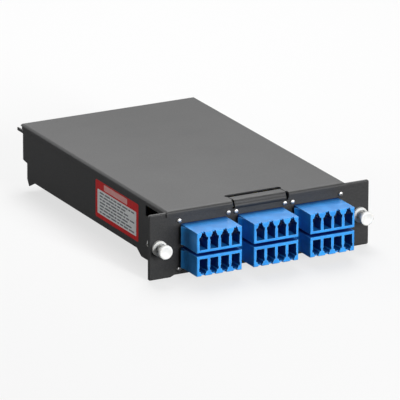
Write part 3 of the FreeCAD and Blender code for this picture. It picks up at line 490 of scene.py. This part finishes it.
class Shape:
    """A mesh in the making, with one material index per face."""

    CORNER_STEPS = 4

    def __init__(self) -> None:
        """Start with an empty mesh."""
        self.mesh = bmesh.new()

    def ring(self, middle: Vector, radius: float, segments: int,
             turn: Quaternion = Quaternion()) -> list[bmesh.types.BMVert]:
        """Place the points of a circle round an axis along Y.

        Args:
            middle: Centre of the circle.
            radius: Its radius.
            segments: Points round it.
            turn: Turn of the axis away from Y.

        Returns:
            The points in order.
        """
        angles = [2 * math.pi * step / segments for step in range(segments)]
        return [self.mesh.verts.new(middle + turn @ Vector((radius * math.cos(angle), 0,
                                                            radius * math.sin(angle))))
                for angle in angles]

    def lathe(self, profile: list[tuple[float, float]], centre: Vector, segments: int = 40) -> None:
        """Turn a profile about an axis along Y.

        Args:
            profile: Pairs of radius and depth in metres; a radius of 0 closes an end.
            centre: Point on the axis from which the depths are counted.
            segments: Faces round the axis.
        """
        rings = []
        for radius, depth in profile:
            at = centre + Vector((0, depth, 0))
            rings.append(self.ring(at, radius, segments) if radius > 0
                         else [self.mesh.verts.new(at)])
        for before, after in zip(rings, rings[1:]):
            for index in range(segments):
                following = (index + 1) % segments
                corners = [before[index % len(before)], after[index % len(after)],
                           after[following % len(after)], before[following % len(before)]]
                self.mesh.faces.new(list(dict.fromkeys(corners)))

    def tube(self, path: list[Vector], radius: float, segments: int = 12) -> None:
        """Sweep a circle along a path, with a flat cap at each end.

        Args:
            path: Points along the middle line.
            radius: Radius of the tube.
            segments: Faces round the tube.
        """
        rings = []
        for index, point in enumerate(path):
            ahead = (path[min(index + 1, len(path) - 1)] - path[max(index - 1, 0)]).normalized()
            turn = Vector((0, 1, 0)).rotation_difference(ahead)
            rings.append(self.ring(point, radius, segments, turn))
        for before, after in zip(rings, rings[1:]):
            for index in range(segments):
                following = (index + 1) % segments
                self.mesh.faces.new((before[index], after[index], after[following],
                                     before[following]))
        self.mesh.faces.new(rings[0])
        self.mesh.faces.new(rings[-1][::-1])

    def rounded_plate(self, across: Vector, up: Vector, corner: Vector, size: tuple[float, float],
                      thickness: float, radius: float, slot: int = 0) -> None:
        """Add a thin plate with rounded corners, standing off a surface.

        Args:
            across: Unit direction of its width.
            up: Unit direction of its height.
            corner: Its lowest corner on the surface.
            size: Width and height.
            thickness: How far it stands off, along across x up.
            radius: Corner radius.
            slot: Material index of its faces.
        """
        width, height = size
        off = across.cross(up) * thickness
        outline = []
        for middle_x, middle_z, start in ((width - radius, radius, -90),
                                          (width - radius, height - radius, 0),
                                          (radius, height - radius, 90), (radius, radius, 180)):
            for step in range(self.CORNER_STEPS + 1):
                turn = math.radians(start + 90 * step / self.CORNER_STEPS)
                outline.append(corner + across * (middle_x + radius * math.cos(turn))
                               + up * (middle_z + radius * math.sin(turn)))
        under = [self.mesh.verts.new(point) for point in outline]
        over = [self.mesh.verts.new(point + off) for point in outline]
        count = len(outline)
        faces = [self.mesh.faces.new(over), self.mesh.faces.new(under[::-1])]
        for index in range(count):
            following = (index + 1) % count
            faces.append(self.mesh.faces.new((under[index], under[following], over[following],
                                              over[index])))
        for face in faces:
            face.material_index = slot

    def finish(self, name: str, finishes: list[Finish], body: str = CASSETTE,
               stands_for: list[str] | None = None, smooth_degrees: float = 40.0
               ) -> bpy.types.Object:
        """Turn the mesh into a piece that rides on a body of the frame.

        Args:
            name: Name of the piece.
            finishes: One finish for each material index.
            body: Body it rides on.
            stands_for: Nodes of the frame that it replaces.
            smooth_degrees: Edges sharper than this stay sharp.

        Returns:
            The new object.
        """
        bmesh.ops.recalc_face_normals(self.mesh, faces=self.mesh.faces)
        data = bpy.data.meshes.new(name)
        self.mesh.to_mesh(data)
        self.mesh.free()
        for finish in finishes:
            data.materials.append(finish.material())
        data.shade_smooth()
        data.set_sharp_from_angle(angle=math.radians(smooth_degrees))
        piece = bpy.data.objects.new(name, data)
        bpy.context.scene.collection.objects.link(piece)
        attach(piece, body)
        if stands_for:
            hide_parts(*stands_for)
        LOG.info("%s: %d faces on %s", name, len(data.polygons), body)
        return piece


def arc_profile(radius: float, height: float, rim: float, steps: int = 6
                ) -> list[tuple[float, float]]:
    """Profile of a domed head from its crown out to its rim.

    Args:
        radius: Radius of the head.
        height: Height of the dome above the rim's height.
        rim: Height of the straight rim.
        steps: Points along the dome.

    Returns:
        Pairs of radius and depth, the crown at minus the full height, ending at depth 0.
    """
    points = [(0.0, -height - rim)]
    for step in range(1, steps + 1):
        turn = math.pi / 2 * step / steps
        points.append((radius * math.sin(turn), -rim - height * math.cos(turn)))
    points.append((radius, 0.0))
    return points


def node_box(node: str) -> tuple[Vector, Vector, Vector]:
    """Lowest corner, highest corner and centre of a node of the frame."""
    low, high = (Vector(corner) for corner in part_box(node))
    return low, high, (low + high) / 2


def faceplate_front() -> float:
    """Depth of the faceplate's front face in the frame."""
    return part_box("plunger_grommet_left")[0][1] + GROMMET_FLANGE


# --- Sub-assemblies ---

@dataclass
class Housing:
    """The folded steel: tray, lid and faceplate, and the two screws of the lid.

    Attributes:
        head_radius: Radius of a screw head.
        head_rise: Height of its dome above its rim.
        head_rim: Height of the rim.
        pit_radius: Radius of the drive pit at the crown.
        pit_floor_radius: Radius of the pit's floor.
        pit_floor: Height of the floor's edge over the seat.
        pit_point: Height of the floor's middle over the seat.
        thread_radius: Radius of the thread.
    """

    head_radius: float = 2.3 * MM
    head_rise: float = 0.9 * MM
    head_rim: float = 0.6 * MM
    pit_radius: float = 0.4025 * MM
    pit_floor_radius: float = 0.345 * MM
    pit_floor: float = 0.48 * MM
    pit_point: float = 0.36 * MM
    thread_radius: float = 1.25 * MM

    def build(self) -> None:
        """Dress the steel and replace the plain screws."""
        for node in ("base_tray", "top_cover", "faceplate"):
            dress_node(node, POWDER_BLACK)
        self.screws()

    def screws(self) -> None:
        """Pan head screws with a small round drive pit, their heads to the rear."""
        low, high, centre = node_box("cover_screws")
        seat = high.y - self.head_rise - self.head_rim
        tip = low.y - seat
        head = [(radius, -depth) for radius, depth in
                arc_profile(self.head_radius, self.head_rise, self.head_rim)]
        crown = head[0][1]
        profile = [(0.0, self.pit_point), (self.pit_floor_radius, self.pit_floor),
                   (self.pit_radius, crown), *head[1:],
                   (self.thread_radius, 0.0), (self.thread_radius, tip), (0.0, tip)]
        shape = Shape()
        for x in (low.x + self.head_radius, high.x - self.head_radius):
            shape.lathe(profile, Vector((x, seat, centre.z)))
        shape.finish("cover_screw_heads", [OXIDE_BLACK], stands_for=["cover_screws"])


@dataclass
class Label:
    """Plain label on the left wall: red border, pale field, grey bars for its print.

    Attributes:
        front: Distance from the faceplate's front to the label.
        bottom: Height of its lower edge.
        width: Length along the wall.
        height: Height of the label.
        border: Width of the red border.
        header: Height of the red band along its top.
        film: Thickness of the film, and of each field laid on it.
        radii: Corner radii of the film, its pale field, the title and a bar.
        title: Left edge and width of the title, as shares of the label's width.
        title_band: Lower edge below the top and height, as shares of the header.
        bars: Rows of print.
        margins: Left and right ends of the rows, as shares of the field's width.
        ragged: Share of the width by which rows differ.
        words: Shortest word, step between word lengths, and space between words.
    """

    front: float = 32.6 * MM
    bottom: float = 9.8 * MM
    width: float = 49.2 * MM
    height: float = 20.6 * MM
    border: float = 2.4 * MM
    header: float = 4.8 * MM
    film: float = 0.06 * MM
    radii: tuple[float, float, float, float] = (1.0 * MM, 0.5 * MM, 0.4 * MM, 0.15 * MM)
    title: tuple[float, float] = (0.2, 0.54)
    title_band: tuple[float, float] = (0.82, 0.66)
    bars: int = 7
    margins: tuple[float, float] = (0.06, 0.9)
    ragged: float = 0.12
    words: tuple[float, float, float] = (2.2 * MM, 1.3 * MM, 0.9 * MM)
    ACROSS = (0, -1, 0)
    UP = (0, 0, 1)

    def build(self) -> None:
        """Stack the film, its pale field, the title and the printed bars on the wall."""
        across, up = Vector(self.ACROSS), Vector(self.UP)
        layer = across.cross(up) * self.film
        corner = Vector((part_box("base_tray")[0][0], faceplate_front() + self.front + self.width,
                         self.bottom))
        field = (self.width - 2 * self.border, self.height - self.border - self.header)
        inset = corner + (across + up) * self.border + layer
        title = (corner + across * (self.width * self.title[0])
                 + up * (self.height - self.header * self.title_band[0]) + layer)
        title_size = (self.width * self.title[1], self.header * self.title_band[1])
        shape = Shape()
        for place, size, thickness, radius, ink in (
                (corner, (self.width, self.height), self.film, self.radii[0], Ink.RED),
                (inset, field, self.film, self.radii[1], Ink.WHITE),
                (title, title_size, self.film / 2, self.radii[2], Ink.ROSE)):
            shape.rounded_plate(across, up, place, size, thickness, radius, ink)
        self.print_bars(shape, inset + layer, field)
        shape.finish("housing_label", [FILM_RED, FILM_WHITE, FILM_GREY, FILM_ROSE])

    def print_bars(self, shape: Shape, corner: Vector, field: tuple[float, float]) -> None:
        """Add rows of short grey bars that stand for print, with no lettering.

        Args:
            shape: Mesh that gets the bars.
            corner: Lowest corner of the pale field.
            field: Width and height of the field.
        """
        across, up = Vector(self.ACROSS), Vector(self.UP)
        pitch = field[1] / (self.bars + 0.6)     # the last row's height and a little space
        left, right = self.margins
        shortest, longer, space = self.words
        for row in range(self.bars):
            reach = field[0] * left
            word = row
            while reach < field[0] * (right - self.ragged * (row % 3)):
                length = shortest + longer * (word * 5 % 4)     # four lengths, in a mixed order
                start = corner + across * reach + up * (pitch * (row + 0.55))
                shape.rounded_plate(across, up, start, (length, pitch * 0.45), self.film / 2,
                                    self.radii[3], Ink.GREY)
                reach += length + space
                word += 1


@dataclass
class QuadAdapter:
    """One quad LC adapter in the faceplate, with its plugs and fibres behind.

    Attributes:
        column: Column counted from 1 at the left.
        row: Row that sets the way its latches face.
        pitch: Distance between its ports.
        post_radius: Radius of the moulded post round each sleeve.
        post_length: Height of the post over the floor of the port.
        sleeve_radius: Outside radius of the ceramic sleeve.
        sleeve_bore: Bore that takes a ferrule.
        sleeve_back: Distance from the post's end back to the sleeve's.
        lead_in: Chamfer of the post's end.
        bore_lead: Chamfer of the bore's end.
        bore_floor: Height of the bore's floor over the floor of the port.
        port_floor: Depth of a port's floor behind the adapter's face.
        axis_offset: Distance of the ferrule's axis from the middle, away from the latch.
    """

    column: int
    row: Row
    pitch: float = 6.25 * MM
    post_radius: float = 1.55 * MM
    post_length: float = 4.2 * MM
    sleeve_radius: float = 1.0 * MM
    sleeve_bore: float = 0.63 * MM
    sleeve_back: float = 0.3 * MM
    lead_in: float = 0.3 * MM
    bore_lead: float = 0.1 * MM
    bore_floor: float = 0.2 * MM
    port_floor: float = 16.9 * MM
    axis_offset: float = 1.6 * MM

    @property
    def label(self) -> str:
        """The adapter's part of its nodes' names."""
        return f"{self.column}_{self.row.label}"

    def build(self) -> None:
        """Dress the mouldings and add what shows inside the ports."""
        for part in ("adapter_front", "adapter_rear", "lc_plugs"):
            dress_node(f"{part}_{self.label}", PBT_BLUE)
        self.sleeves()

    def port_axes(self) -> list[Vector]:
        """Find where the ferrule axes meet the floors of the ports.

        Returns:
            One point for each port, from left to right.
        """
        low, _, centre = node_box(f"adapter_front_{self.label}")
        first = centre.x - (PORTS - 1) / 2 * self.pitch
        z = centre.z - self.row.value * self.axis_offset
        return [Vector((first + index * self.pitch, low.y + self.port_floor, z))
                for index in range(PORTS)]

    def sleeves(self) -> None:
        """A post with its ceramic sleeve at the back of each port."""
        end = -self.post_length
        sleeve_end = end + self.sleeve_back
        post = [(self.post_radius, 0.0), (self.post_radius, end + self.lead_in),
                (self.post_radius - self.lead_in, end), (self.sleeve_radius, end),
                (self.sleeve_radius, 0.0)]
        sleeve = [(self.sleeve_radius, 0.0), (self.sleeve_radius, sleeve_end),
                  (self.sleeve_bore, sleeve_end + self.bore_lead),
                  (self.sleeve_bore, -self.bore_floor), (0.0, -self.bore_floor)]
        posts, rings = Shape(), Shape()
        for axis in self.port_axes():
            posts.lathe(post, axis, SMALL_ROUND)
            rings.lathe(sleeve, axis, SMALL_ROUND)
        posts.finish(f"sleeve_posts_{self.label}", [PBT_BLUE])
        rings.finish(f"ceramic_sleeves_{self.label}", [ZIRCONIA])


@dataclass
class Retainer:
    """The plate behind one column, with its four rivets through the faceplate.

    Attributes:
        column: Column counted from 1 at the left.
        edge: Metal of the plate outside a rivet's axis.
        head_radius: Radius of the rivet's rim.
        dome: Height of the dome over the rim.
        rim: Height of the rim.
        plain_head: Height of the plain head that the dome covers.
    """

    column: int
    edge: float = 1.35 * MM
    head_radius: float = 1.2 * MM
    dome: float = 0.3 * MM
    rim: float = 0.62 * MM
    plain_head: float = 0.6 * MM

    def build(self) -> None:
        """Dress the plate and set a domed head on each rivet."""
        node = f"adapter_retainer_{self.column}"
        dress_node(node, ZINC_BRIGHT)
        low, high, _ = node_box(node)
        seat = low.y + self.plain_head
        profile = [*arc_profile(self.head_radius, self.dome, self.rim), (0.0, 0.0)]
        shape = Shape()
        for x in (low.x + self.edge, high.x - self.edge):
            for z in (low.z + self.edge, high.z - self.edge):
                shape.lathe(profile, Vector((x, seat, z)), SMALL_ROUND)
        shape.finish(f"rivet_domes_{self.column}", [ZINC_BRIGHT])


@dataclass
class Plunger:
    """A push-pull plunger and the grommet it slides in.

    Attributes:
        side: Ear that it stands on.
        head_length: Thickness of the head.
        edge: Radius of the head's front edge.
        edge_steps: Faces across that edge.
        back_edge: Chamfer of the head's rear edge.
        dish: Depth of the dished front.
        gate: Radius of the flat at the dish's middle.
        gate_edge: Radius where the dish begins to rise.
        shank_radius: Radius of the shank.
        fillet: Chamfer between the head and the shank.
        barb_radius: Radius of the barb behind the legs.
        barb_length: Length of the barb.
        tip: Radius of the barb's tip, as a share of the shank's.
    """

    side: Side
    head_length: float = 2.2 * MM
    edge: float = 0.7 * MM
    edge_steps: int = 5
    back_edge: float = 0.2 * MM
    dish: float = 0.25 * MM
    gate: float = 0.5 * MM
    gate_edge: float = 0.7 * MM
    shank_radius: float = 1.9 * MM
    fillet: float = 0.3 * MM
    barb_radius: float = 2.6 * MM
    barb_length: float = 1.6 * MM
    tip: float = 0.6

    def build(self) -> None:
        """Dress the grommet and turn a finer plunger on the plain one's axis."""
        dress_node(f"plunger_grommet_{self.side.label}", NYLON_WHITE)
        node = f"plunger_pin_{self.side.label}"
        low, high, centre = node_box(node)
        shape = Shape()
        shape.lathe(self.profile((high.x - low.x) / 2, high.y - low.y),
                    Vector((centre.x, low.y, centre.z)), LARGE_ROUND)
        shape.finish(f"plunger_knob_{self.side.label}", [NYLON_WHITE],
                     body=f"plunger_{self.side.label}", stands_for=[node])

    def profile(self, head: float, length: float) -> list[tuple[float, float]]:
        """Profile of the plunger, from the middle of its dish to the tip of its barb.

        Args:
            head: Radius of the head.
            length: Length of the whole plunger.

        Returns:
            Pairs of radius and depth behind the head's front.
        """
        shank, barb = self.shank_radius, length - self.barb_length
        dish = [(0.0, self.dish), (self.gate, self.dish), (self.gate_edge, self.dish * 0.8),
                (head * 0.62, self.dish * 0.6), (head * 0.7, 0.0)]
        turns = [math.pi / 2 * step / self.edge_steps for step in range(self.edge_steps + 1)]
        front = [(head - self.edge + self.edge * math.sin(turn),
                  self.edge - self.edge * math.cos(turn)) for turn in turns]
        back = [(head, self.head_length - self.back_edge),
                (head - self.back_edge, self.head_length),
                (shank + self.fillet, self.head_length), (shank, self.head_length + self.fillet)]
        return [*dish, *front, *back, (shank, barb), (self.barb_radius, barb),
                (shank * self.tip, length), (0.0, length)]


@dataclass
class FibreTray:
    """The fibres inside: legs, fan-outs, bundles, and the rear plugs and adapters.

    Attributes:
        leg_radius: Radius of a leg's jacket.
        bundle_radius: Radius of a bundle's jacket.
        bundle_round: Faces round a bundle.
        pitch: Distance between two legs where they enter a fan-out.
        steps: Runs on each arc of a leg.
    """

    leg_radius: float = 0.45 * MM
    bundle_radius: float = 1.5 * MM
    bundle_round: int = 16
    pitch: float = 1.05 * MM
    steps: int = 10

    def build(self) -> None:
        """Dress the mouldings and draw the fibres round."""
        for row in Row:
            dress_node(f"fanout_block_{row.label}", ABS_BLACK)
            self.bundle(row)
            for column in COLUMNS:
                self.legs(column, row)
        dress_node("fanout_stand", ABS_BLACK)
        for side in Side:
            dress_node(f"mpo_plug_{side.label}", ABS_BLACK)
            dress_node(f"mpo_adapter_{side.label}", ABS_BLACK)

    def curve(self, start: Vector, end: Vector) -> list[Vector]:
        """Find points on two equal tangent arcs that leave and arrive along Y.

        Args:
            start: First point.
            end: Last point.

        Returns:
            Points from start to end.
        """
        run = end.y - start.y
        aside = Vector((end.x - start.x, 0, end.z - start.z))
        offset = aside.length
        aside.normalize()
        bend = (run * run + offset * offset) / (4 * offset)
        half = 2 * math.atan2(offset, run)
        points = []
        for step in range(self.steps + 1):
            turn = half * step / self.steps
            points.append(start + Vector((0, bend * math.sin(turn), 0))
                          + aside * (bend * (1 - math.cos(turn))))
        return points + [start + end - point for point in reversed(points[:-1])]

    def legs(self, column: int, row: Row) -> None:
        """Draw the four legs of one adapter, from its boots to the fan-out.

        Args:
            column: Column of the adapter.
            row: Row of the adapter.
        """
        node = f"fibre_legs_{column}_{row.label}"
        block_low, _, block = node_box(f"fanout_block_{row.label}")
        low, _, _ = node_box(node)
        middle = (len(COLUMNS) * PORTS - 1) / 2
        shape = Shape()
        for index, axis in enumerate(QuadAdapter(column, row).port_axes()):
            place = (column - 1) * PORTS + index - middle
            shape.tube(self.curve(Vector((axis.x, low.y, axis.z)),
                                  Vector((block.x + place * self.pitch, block_low.y, axis.z))),
                       self.leg_radius)
        shape.finish(f"round_legs_{column}_{row.label}", [JACKET_YELLOW], stands_for=[node])

    def bundle(self, row: Row) -> None:
        """Draw the bundle from a fan-out to the boot of its rear plug.

        Args:
            row: Row whose fibres it gathers.
        """
        side = Side.LEFT if row is Row.UPPER else Side.RIGHT
        _, block_high, block = node_box(f"fanout_block_{row.label}")
        plug_low, _, plug = node_box(f"mpo_plug_{side.label}")
        shape = Shape()
        shape.tube(self.curve(Vector((block.x, block_high.y, block.z)),
                              Vector((plug.x, plug_low.y, plug.z))),
                   self.bundle_radius, self.bundle_round)
        shape.finish(f"round_bundle_{row.label}", [JACKET_YELLOW],
                     stands_for=[f"fibre_bundle_{row.label}"])


def dress_node(node: str, finish: Finish) -> None:
    """Give a node of the frame its finish.

    Args:
        node: Name of the node.
        finish: Finish for all its faces.
    """
    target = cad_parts[node]
    target.data.materials.clear()
    target.data.materials.append(finish.material())
    LOG.info("%s: %s", node, finish.name)


# --- Stage ---

@dataclass
class Studio:
    """Pale floor, soft lamps and the camera.

    Attributes:
        lens: Focal length in millimetres.
        azimuth: Camera's turn round the object, in degrees.
        elevation: Camera's height above the horizon, in degrees.
        roll: Turn of the picture, in degrees.
        distance: Distance from the aim point.
        aim: Point looked at, as depth behind the faceplate and height.
        shift: Sideways and upward move of the camera.
        floor_size: Size of the floor.
        floor_glow: Strength that makes the lit floor white to the camera.
        room_light: Strength of the white room as a light.
        room_seen: Strength of the white room in view and in reflections.
    """

    lens: float = 496.2
    azimuth: float = -28
    elevation: float = 18.44
    roll: float = 0.22
    distance: float = 2.926
    aim: tuple[float, float] = (70 * MM, 17 * MM)
    shift: tuple[float, float] = (1.55 * MM, -3.25 * MM)
    floor_size: float = 6.0
    floor_glow: float = 0.69
    room_light: float = 0.12
    room_seen: float = 0.97

    def build(self) -> None:
        """Lay the floor, hang the lamps and set the camera."""
        self.floor()
        self.world()
        self.lamps()
        self.camera()

    def floor(self) -> None:
        """A wide floor that the camera sees white, with the object's shadow on it."""
        mesh = bmesh.new()
        bmesh.ops.create_grid(mesh, x_segments=1, y_segments=1, size=self.floor_size)
        data = bpy.data.meshes.new("studio_floor")
        mesh.to_mesh(data)
        mesh.free()
        made = bpy.data.materials.new("floor_paper_white")
        made.use_nodes = True
        tree = made.node_tree
        tree.nodes.clear()
        path = add_node(tree, "ShaderNodeLightPath")
        seen = add_node(tree, "ShaderNodeMath",
                        {0: path.outputs["Is Camera Ray"], 1: path.outputs["Is Transmission Ray"]},
                        operation="MAXIMUM")
        lit = add_node(tree, "ShaderNodeBsdfDiffuse", {"Color": linear("#828282")})
        glow = add_node(tree, "ShaderNodeEmission",
                        {"Color": linear("#ffffff"), "Strength": self.floor_glow})
        pale = add_node(tree, "ShaderNodeAddShader", {0: lit.outputs[0], 1: glow.outputs[0]})
        quiet = add_node(tree, "ShaderNodeBsdfDiffuse", {"Color": linear("#646566")})
        blend = add_node(tree, "ShaderNodeMixShader",
                         {0: seen.outputs["Value"], 1: quiet.outputs[0], 2: pale.outputs[0]})
        add_node(tree, "ShaderNodeOutputMaterial", {"Surface": blend.outputs[0]})
        data.materials.append(made)
        floor = bpy.data.objects.new("studio_floor", data)
        floor.location = (0, 0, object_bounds()[0][2])
        bpy.context.scene.collection.objects.link(floor)
        floor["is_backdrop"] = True

    def world(self) -> None:
        """A white room in view and in reflections, dimmer as a light."""
        world = bpy.data.worlds.new("studio")
        bpy.context.scene.world = world
        world.use_nodes = True
        tree = world.node_tree
        path = add_node(tree, "ShaderNodeLightPath")
        direct = add_node(tree, "ShaderNodeMath",
                          {0: path.outputs["Is Camera Ray"],
                           1: path.outputs["Is Transmission Ray"]}, operation="MAXIMUM")
        seen = add_node(tree, "ShaderNodeMath",
                        {0: direct.outputs["Value"], 1: path.outputs["Is Glossy Ray"]},
                        operation="MAXIMUM")
        level = add_node(tree, "ShaderNodeMapRange",
                         {"Value": seen.outputs["Value"], "To Min": self.room_light,
                          "To Max": self.room_seen})
        ground = tree.nodes["Background"]
        ground.inputs["Color"].default_value = linear("#ffffff")
        tree.links.new(level.outputs["Result"], ground.inputs["Strength"])

    def lamp(self, name: str, place: tuple[float, float, float], size: tuple[float, float],
             power: float, diffuse: bool = True, glossy: bool = True) -> None:
        """Hang a rectangular soft box that faces the object.

        Args:
            name: Name of the lamp.
            place: Where it hangs.
            size: Width and height of its face.
            power: Its power in watts.
            diffuse: Whether it lights surfaces directly.
            glossy: Whether it shows in reflections.
        """
        data = bpy.data.lights.new(name, "AREA")
        data.shape = "RECTANGLE"
        data.size, data.size_y = size
        data.energy = power
        lamp = bpy.data.objects.new(name, data)
        lamp.location = place
        lamp.rotation_euler = (-Vector(place)).to_track_quat("-Z", "Y").to_euler()
        lamp.visible_camera = False
        lamp.visible_diffuse = diffuse
        lamp.visible_glossy = glossy
        bpy.context.scene.collection.objects.link(lamp)

    def lamps(self) -> None:
        """Boxes that light from above, in front and the left, and screens that only reflect."""
        self.lamp("overhead_box", (0.2, 0.4, 0.85), (0.5, 0.7), 8.8)
        self.lamp("front_box", (0.1, -1.4, 0.35), (0.25, 0.6), 26.0, glossy=False)
        self.lamp("front_sheen", (0.75, -1.4, 0.25), (1.5, 0.8), 22.0, diffuse=False)
        self.lamp("wall_box", (-1.2, 0.75, 0.35), (0.5, 0.5), 5.0)
        self.lamp("left_sheen", (-0.12, 0.5, 0.2), (0.5, 0.35), 0.42, diffuse=False)

    def camera(self) -> None:
        """Set the camera at a three-quarter view from the left of the front."""
        turn, rise = math.radians(self.azimuth), math.radians(self.elevation)
        back = Vector((math.sin(turn) * math.cos(rise), -math.cos(turn) * math.cos(rise),
                       math.sin(rise)))
        right = Vector((0, 0, 1)).cross(back).normalized()
        up = back.cross(right)
        roll = Matrix.Rotation(math.radians(self.roll), 3, back)
        right, up = roll @ right, roll @ up
        data = bpy.data.cameras.new("camera")
        data.lens = self.lens
        camera = bpy.data.objects.new("camera", data)
        aim = Vector((0, faceplate_front() + self.aim[0], self.aim[1]))
        camera.location = aim + back * self.distance + right * self.shift[0] + up * self.shift[1]
        camera.rotation_euler = Matrix((right, up, back)).transposed().to_euler()
        bpy.context.scene.collection.objects.link(camera)
        bpy.context.scene.camera = camera


def main() -> None:
    logging.basicConfig(level=logging.INFO, format="%(name)s: %(message)s")
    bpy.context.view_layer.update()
    Housing().build()
    Label().build()
    for column in COLUMNS:
        Retainer(column).build()
        for row in Row:
            QuadAdapter(column, row).build()
    for side in Side:
        Plunger(side).build()
    FibreTray().build()
    Studio().build()
    scene = bpy.context.scene
    scene.view_settings.view_transform = "Standard"


if __name__ == "__main__":
    main()
